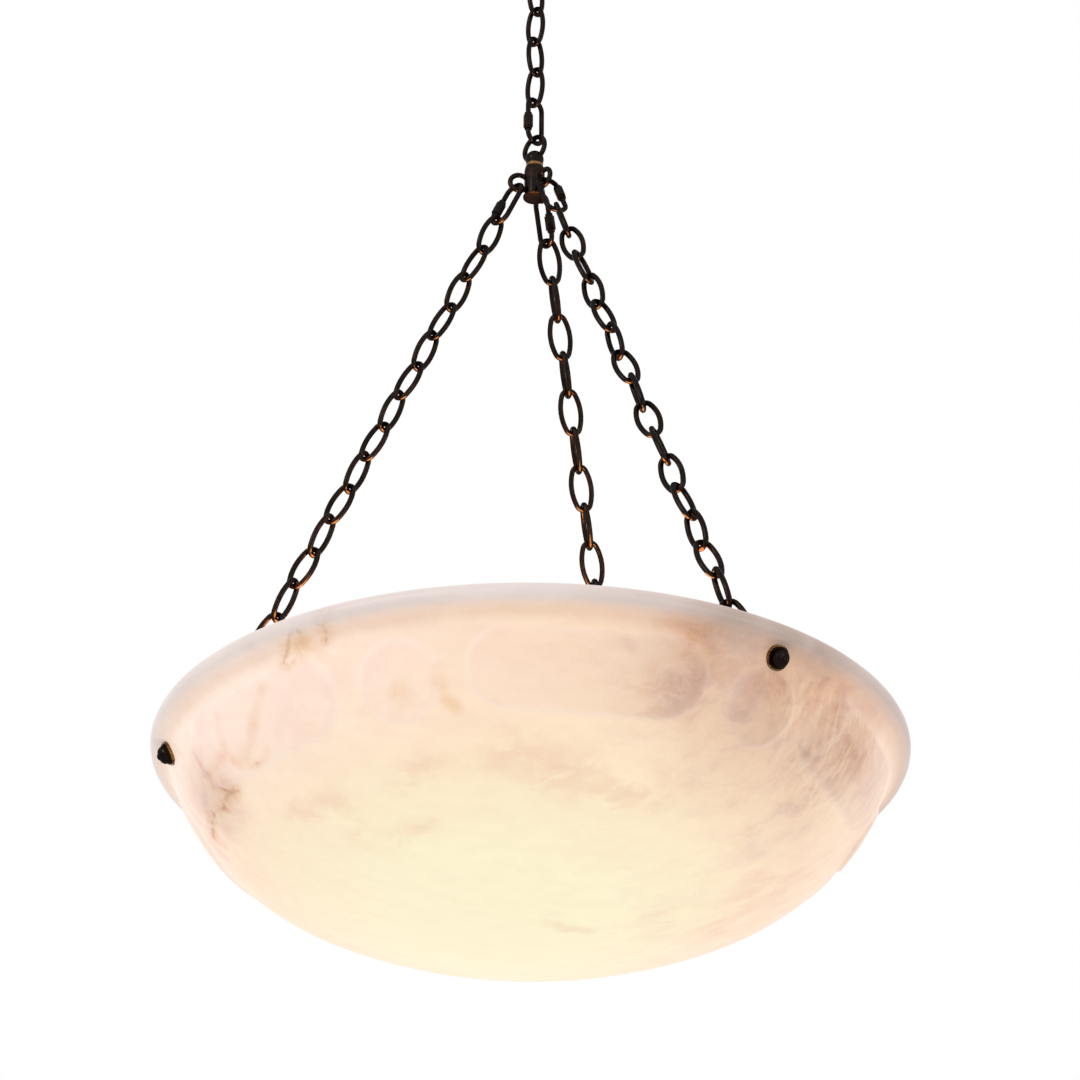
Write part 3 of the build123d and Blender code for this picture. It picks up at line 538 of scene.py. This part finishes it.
    def threaded(self, lit):
        """A net of soft threads in the clouds, and fibres down the bowl at the right edge."""
        broken = self.ramp(self.noise(self.spot, 30.0, detail=2.0), 0.42, 0.60)
        coarse = self.ridges(self.frayed, 30.0, 0.022, detail=5.0, distortion=0.4)
        fine = self.ridges(self.frayed, 95.0, 0.060, detail=3.0, distortion=0.3)
        net = self.times(self.most(self.times(coarse, 0.8), self.times(fine, 0.8)), broken)
        lit = self.mix(self.times(net, self.plus(self.times(self.cloudy, 0.34), 0.04)),
                       lit, THREAD_TINT)

        # Measured round the bowl and down it, so that the noise is drawn out downwards.
        azimuth = self.math("ARCTAN2", self.depth, self.across)
        unrolled = self.add("ShaderNodeCombineXYZ")
        self.feed(unrolled.inputs["X"], self.times(azimuth, 0.21))
        self.feed(unrolled.inputs["Y"], self.times(self.level, 0.40))
        unrolled = self.warped(self.warped(unrolled.outputs[0], 14.0, 0.028), 45.0, 0.007)
        coarse = self.ridges(unrolled, 26.0, 0.040, detail=4.0)
        fine = self.ridges(unrolled, 70.0, 0.070, detail=3.0)
        right_edge = self.times(self.ramp(self.across, 0.12, 0.20),
                                self.ramp(self.level, -0.115, -0.07),
                                self.ramp(self.level, -0.022, -0.010, top=0.0, bottom=1.0))
        fibres = self.times(self.most(coarse, self.times(fine, 0.7)), right_edge)
        return self.mix(self.times(fibres, 0.34), lit, FIBRE_TINT)

    def veined(self, lit):
        """Amber under the crease, and brown veins with a rusty halo and a few dark spots."""
        amber = self.times(self.patches(self.frayed, AMBER_PATCHES),
                           self.wispy(0.34, 0.60, bottom=0.55))
        lit = self.stain(amber, lit, AMBER_STAIN)
        halo = self.lines(self.wobble, BROWN_VEINS, widen=3.6)
        rust = self.most(self.patches(self.wobble, RUSTY_PATCHES),
                         self.times(self.lines(self.wobble, RUSTY_LINES), 0.6),
                         self.times(halo, 0.9))
        lit = self.stain(self.times(rust, self.wispy(0.36, 0.58, bottom=0.35)), lit, RUST_STAIN)
        veins = self.times(self.lines(self.wobble, BROWN_VEINS),
                           self.wispy(0.38, 0.54, bottom=0.25))
        spots = self.patches(self.wobble, DARK_SPOTS)
        return self.stain(self.most(self.times(veins, 0.60), self.times(spots, 0.70)),
                          lit, BROWN_STAIN)

    def bossed(self, lit):
        """A boss is thicker stone, greyer at the right; its outline gets a painted highlight."""
        boss, outline = (self.add("ShaderNodeAttribute", attribute_name=name).outputs["Fac"]
                         for name in ("boss", "boss_edge_highlight"))
        to_right = self.ramp(self.across, -0.03, 0.10)
        lit = self.stain(self.times(boss, self.rest_of(to_right)), lit, BOSS_STAIN)
        uneven = self.plus(self.times(self.billow, 0.5), 0.5)
        lit = self.stain(self.times(boss, to_right, uneven), lit, BOSS_DIM_STAIN)
        # painted highlight along the outline, weaker at the right
        highlight_strength = self.plus(0.20, self.times(to_right, -0.09))
        return self.mix(self.times(outline, highlight_strength), lit, EDGE_HIGHLIGHT_TINT)

    def lipped(self, lit):
        """Painted shade in the crease and by a finial; the lip is thick, cooler and greyer."""
        # painted shade along the crease
        crease = self.fade(self.away_from(self.level, -9.0 * MM), 7.0 * MM)
        lit = self.stain(self.times(crease, 0.80), lit, CREASE_SHADE_TINT)
        tint = self.mix(self.ramp(self.across, 0.0, 0.17), LIP_TINT, LIP_DIM_TINT)
        tint = self.stain(self.times(self.ramp(self.smoke, 0.40, 0.62), 0.45), tint, LIP_STAIN)
        # painted shade round the finial, on the lip and below it
        finial_shade = self.times(self.patches(self.drift, FINIAL_SHADE_PATCHES),
                          self.wispy(0.30, 0.60, bottom=0.45))
        tint = self.mix(self.times(finial_shade, 0.85), tint, LIP_SHADE)
        on_lip = self.ramp(self.level, -8.5 * MM, -3.5 * MM)
        lit = self.mix(self.times(on_lip, 0.90), lit, tint)
        under_lip = self.ramp(self.level, -26.0 * MM, -9.0 * MM)
        return self.mix(self.times(finial_shade, under_lip, 0.55), lit, LIP_SHADE)

    def flecked(self, lit):
        flecks = self.noise(self.stretch(self.wobble, (0.35, 0.8, 1.0)), 150.0, detail=4.0)
        return self.stain(self.ramp(flecks, 0.35, 0.70, top=0.35), lit, FLECK_STAIN)


def alabaster():
    stone = Stone()
    lit = stone.lit_through()
    for layer in (stone.clouded, stone.threaded, stone.veined, stone.bossed, stone.lipped,
                  stone.flecked):
        lit = layer(lit)
    grain = stone.noise(stone.spot, 230.0, detail=4.0, roughness=0.6)
    stone.bump(stone.plus(stone.smoke, stone.times(grain, 0.12)), 0.8 * MM, 0.22)
    return stone.set(Base_Color=stone.mix(STONE_SHARE, BLACK, lit),
                     Emission_Color=stone.mix(GLOW_SHARE, BLACK, lit), Emission_Strength=1.0,
                     Roughness=stone.ramp(stone.wisp, 0.3, 0.7, top=0.40, bottom=0.50),
                     Coat_Weight=0.06, Coat_Roughness=0.2)


# ---- Metals and the rest ----------------------------------------------------------------

def bronze():
    shade = Shade("bronze")
    worn = shade.noise(shade.place, 55.0, detail=6.0, roughness=0.65)
    fine = shade.noise(shade.place, 420.0, detail=4.0, roughness=0.6)
    tint = shade.colours(shade.plus(shade.times(worn, 0.75), shade.times(fine, 0.25)),
                         (0.30, (0.003, 0.002, 0.0018)), (0.52, (0.010, 0.006, 0.0045)),
                         (0.74, (0.042, 0.020, 0.011)))
    shade.bump(fine, 0.08 * MM, 0.25)
    return shade.set(Base_Color=tint, Metallic=0.92, Specular_IOR_Level=0.35,
                     Specular_Tint=colour((0.36, 0.26, 0.22)),
                     Coat_Weight=0.12, Coat_Roughness=0.08,
                     Roughness=shade.ramp(worn, 0.3, 0.7, top=0.36, bottom=0.20))


def brass():
    shade = Shade("brass")
    brushed = shade.noise(shade.stretch(shade.place, (1.0, 1.0, 9.0)), 160.0, detail=4.0)
    tint = shade.colours(brushed, (0.3, (0.10, 0.048, 0.015)), (0.7, (0.34, 0.19, 0.065)))
    shade.bump(brushed, 0.05 * MM, 0.3)
    return shade.set(Base_Color=tint, Metallic=1.0,
                     Roughness=shade.ramp(brushed, 0.3, 0.7, top=0.38, bottom=0.22))


def plain(name, tint, shadow, roughness, metallic=0.0, grain=200.0, depth=0.06):
    """A simple finish: two close tones, uneven gloss and a fine grain."""
    shade = Shade(name)
    tone = shade.noise(shade.place, grain * 0.3, detail=5.0)
    fine = shade.noise(shade.place, grain * 3, detail=3.0)
    shade.bump(fine, depth * MM, 0.3)
    gloss = shade.ramp(fine, 0.2, 0.8, top=roughness * 1.25, bottom=roughness * 0.8)
    return shade.set(Base_Color=shade.mix(shade.ramp(tone, 0.3, 0.7), tint, shadow),
                     Metallic=metallic, Roughness=gloss)


def bulb_glass():
    shade = Shade("bulb_glass")
    frost = shade.noise(shade.place, 300.0, detail=3.0)
    tint = shade.mix(shade.ramp(frost, 0.3, 0.7), (1.0, 0.86, 0.62), (0.97, 0.80, 0.55))
    return shade.set(Base_Color=tint, Emission_Color=tint, Emission_Strength=0.9,
                     Roughness=0.28, Coat_Weight=0.3)


FINISHES = {
    "bronze": bronze(),
    "alabaster": alabaster(),
    "brass": brass(),
    "rubber": plain("rubber", (0.03, 0.03, 0.03), (0.045, 0.043, 0.04), 0.75),
    "zinc": plain("zinc", (0.52, 0.52, 0.50), (0.40, 0.41, 0.42), 0.34, metallic=1.0),
    "white_paint": plain("white_paint", (0.80, 0.79, 0.76), (0.76, 0.745, 0.71), 0.40,
                         grain=120.0),
    "porcelain": plain("porcelain", (0.83, 0.81, 0.76), (0.80, 0.775, 0.72), 0.16, grain=60.0,
                       depth=0.02),
    "bulb_glass": bulb_glass(),
    "bulb_base": plain("bulb_base", (0.60, 0.60, 0.61), (0.50, 0.50, 0.51), 0.30, metallic=1.0),
    "nylon": plain("nylon", (0.74, 0.72, 0.66), (0.70, 0.68, 0.62), 0.5),
    "gland": plain("gland", (0.025, 0.025, 0.026), (0.035, 0.034, 0.034), 0.5),
}


def finish_nodes():
    """Every CAD node gets its slot's finish."""
    for entry in frame["record"]["subparts"]:
        mesh = frame["nodes"][entry["node"]].data
        mesh.materials.clear()
        mesh.materials.append(FINISHES[entry["material_slot"]])


# ---- Bowl mesh -----------------------------------------------------------------------

def boss_edge_distance(point, side):
    """How far inside the nearest boss's outline a point of the belt lies."""
    insides = []
    middle = side + Vector((sin(BOSS_SLOPE), -cos(BOSS_SLOPE))) * SIDE_RADIUS
    step = pi / BOSS_PAIRS
    nearest = round((atan2(point.y, point.x) - FIRST_DISC) / step)
    for number in (nearest - 1, nearest, nearest + 1):
        azimuth = FIRST_DISC + number * step
        outward = Vector((cos(azimuth), sin(azimuth), 0))
        sideways = Vector((-sin(azimuth), cos(azimuth), 0))
        upslope = outward * cos(BOSS_SLOPE) + Vector((0, 0, sin(BOSS_SLOPE)))
        centre = outward * middle.x + Vector((0, 0, middle.y))
        away = point - centre
        u, v = away.dot(sideways), away.dot(upslope)
        if number % 2:
            straight_half = (OVAL_LENGTH - OVAL_HEIGHT) / 2
            insides.append(OVAL_HEIGHT / 2 - hypot(max(abs(u) - straight_half, 0.0), v))
        else:
            insides.append(DISC_DIAMETER / 2 - hypot(u, v))
    return max(insides)


def smooth(share):
    """A smooth step from 0 to 1."""
    share = min(1.0, max(0.0, share))
    return share * share * (3 - 2 * share)


def let_in(point):
    """Presses a point of the outside down to the flat seat of a rim washer near it."""
    for azimuth in FIXING_AZIMUTHS:
        outward = Vector((cos(azimuth), sin(azimuth), 0))
        axis = outward * sin(NECK_SLOPE) - Vector((0, 0, cos(NECK_SLOPE)))
        away = point - outward * FIXING_SEAT[0] - Vector((0, 0, FIXING_SEAT[1]))
        proud = away.dot(axis)
        if abs(proud) < WALL / 2:
            gap = (away - axis * proud).length
            point = point - axis * proud * smooth((SEAT_FADE - gap) / (SEAT_FADE - SEAT_RADIUS))
    return point


def make_bowl():
    section, side = bowl_section()
    vertices, bosses, edge_highlights = [], [], []
    for r, z, normal_r, normal_z, relief in section[1:-1]:
        for turn in range(TURNS):
            azimuth = 2 * pi * turn / TURNS
            level, outline = 0.0, 0.0
            if relief > 0:
                point = Vector((r * cos(azimuth), r * sin(azimuth), z))
                inside = boss_edge_distance(point, side)
                level = smooth((inside + BOSS_SOFTNESS) / (2 * BOSS_SOFTNESS))
                # painted highlight along the boss's outline
                outline = smooth(1 - abs(inside) / BOSS_GLINT) * relief / BOSS_RELIEF
            radius = r + normal_r * relief * level
            height = z + normal_z * relief * level
            point = Vector((radius * cos(azimuth), radius * sin(azimuth), height))
            vertices.append(let_in(point) + RIM_CENTRE)
            bosses.append(level)
            edge_highlights.append(outline)

    # Rings of squares, closed by a fan at the bottom's middle outside and another inside.
    low, high = len(vertices), len(vertices) + 1
    last = low - TURNS
    faces = []
    for start in range(0, last, TURNS):
        for turn in range(TURNS):
            after = (turn + 1) % TURNS
            faces.append((start + turn, start + after,
                          start + TURNS + after, start + TURNS + turn))
    vertices += [(0, 0, RIM_Z + section[0][1]), (0, 0, RIM_Z + section[-1][1])]
    for turn in range(TURNS):
        after = (turn + 1) % TURNS
        faces.append((low, after, turn))
        faces.append((high, last + turn, last + after))
    mesh = bpy.data.meshes.new("alabaster_bowl")
    mesh.from_pydata(vertices, [], faces)
    # the boss's share, and the painted highlight along its outline
    for name, values in (("boss", bosses), ("boss_edge_highlight", edge_highlights)):
        attribute = mesh.attributes.new(name, "FLOAT", "POINT")
        attribute.data.foreach_set("value", values + [0.0, 0.0])
    mesh.shade_smooth()
    mesh.materials.append(FINISHES["alabaster"])
    bowl = bpy.data.objects.new("alabaster_bowl", mesh)
    bpy.context.scene.collection.objects.link(bowl)
    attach(bowl, "bowl_and_legs")
    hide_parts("bowl")


# ---- Camera, lights and floor ------------------------------------------------------------

def make_camera():
    forward = Vector((sin(CAMERA_YAW) * cos(CAMERA_PITCH),
                      cos(CAMERA_YAW) * cos(CAMERA_PITCH), sin(CAMERA_PITCH)))
    level = Vector((cos(CAMERA_YAW), -sin(CAMERA_YAW), 0))
    upright = level.cross(forward)
    right = level * cos(CAMERA_ROLL) + upright * sin(CAMERA_ROLL)
    up = upright * cos(CAMERA_ROLL) - level * sin(CAMERA_ROLL)
    camera = bpy.data.objects.new("camera", bpy.data.cameras.new("camera"))
    place = RIM_CENTRE + Vector((0, -CAMERA_BACK, -CAMERA_DROP))
    facing = Matrix((right, up, -forward)).transposed()
    camera.matrix_world = Matrix.Translation(place) @ facing.to_4x4()
    camera.data.sensor_width = CAMERA_SENSOR
    camera.data.lens = CAMERA_LENS
    camera.data.clip_end = CAMERA_REACH
    bpy.context.scene.collection.objects.link(camera)
    bpy.context.scene.camera = camera


def add_lamp(name, kind, place, power, tint):
    light = bpy.data.lights.new(name, kind)
    light.energy = power
    light.color = tint
    lamp = bpy.data.objects.new(name, light)
    lamp.location = place
    bpy.context.scene.collection.objects.link(lamp)
    return lamp


def add_disk(name, place, target, diameter, power, tint=(1.0, 1.0, 1.0)):
    lamp = add_lamp(name, "AREA", place, power, tint)
    lamp.data.shape = "DISK"
    lamp.data.size = diameter
    lamp.rotation_mode = "QUATERNION"
    lamp.rotation_quaternion = (target - place).to_track_quat("-Z", "Y")
    return lamp


def make_world():
    """Even white light, and a white backdrop for the camera and in glass and gloss."""
    world = bpy.data.worlds.new("studio")
    bpy.context.scene.world = world
    world.use_nodes = True
    tree = world.node_tree
    background = tree.nodes["Background"]
    background.inputs["Color"].default_value = (1.0, 1.0, 1.0, 1.0)
    rays = tree.nodes.new("ShaderNodeLightPath")
    seen = rays.outputs["Is Camera Ray"]
    for kind in ("Is Transmission Ray", "Is Glossy Ray"):
        either = tree.nodes.new("ShaderNodeMath")
        either.operation = "MAXIMUM"
        tree.links.new(seen, either.inputs[0])
        tree.links.new(rays.outputs[kind], either.inputs[1])
        seen = either.outputs[0]
    strength = tree.nodes.new("ShaderNodeMapRange")
    strength.inputs["To Min"].default_value = WORLD_LIGHT
    strength.inputs["To Max"].default_value = WHITE_BACKDROP
    tree.links.new(seen, strength.inputs["Value"])
    tree.links.new(strength.outputs["Result"], background.inputs["Strength"])


def make_lights():
    middle = RIM_CENTRE + Vector((0, 0, LIT_HEIGHT))
    for name, place, diameter, power in STUDIO_LAMPS:
        lamp = add_disk(name, RIM_CENTRE + Vector(place), middle, diameter, power)
        lamp.visible_camera = True
    mouth = RIM_CENTRE + Vector((0, 0, MOUTH_GLOW_RISE))
    glow = add_disk("mouth_glow", mouth, mouth + Vector((0, 0, 1)), MOUTH_GLOW_DIAMETER,
                    MOUTH_GLOW_POWER, MOUTH_GLOW_TINT)
    glow.visible_camera = False
    bulbs = RIM_CENTRE + Vector((0, 0, BULB_GLOW_RISE))
    point = add_lamp("bulb_glow", "POINT", bulbs, BULB_GLOW_POWER, BULB_GLOW_TINT)
    point.data.shadow_soft_size = BULB_GLOW_RADIUS


def make_floor():
    corners = [(x * FLOOR_HALF, y * FLOOR_HALF, FLOOR_Z)
               for x, y in ((-1, -1), (1, -1), (1, 1), (-1, 1))]
    mesh = bpy.data.meshes.new("floor")
    mesh.from_pydata(corners, [], [(0, 1, 2, 3)])
    shade = Shade("floor")
    tone = shade.noise(shade.place, 3.0, detail=3.0)
    tint = shade.mix(tone, (0.86, 0.855, 0.85), (0.83, 0.825, 0.82))
    mesh.materials.append(shade.set(Base_Color=tint, Roughness=0.7))
    floor = bpy.data.objects.new("floor", mesh)
    bpy.context.scene.collection.objects.link(floor)


finish_nodes()
make_bowl()
make_camera()
make_world()
make_lights()
make_floor()
bpy.context.scene.view_settings.view_transform = "Standard"
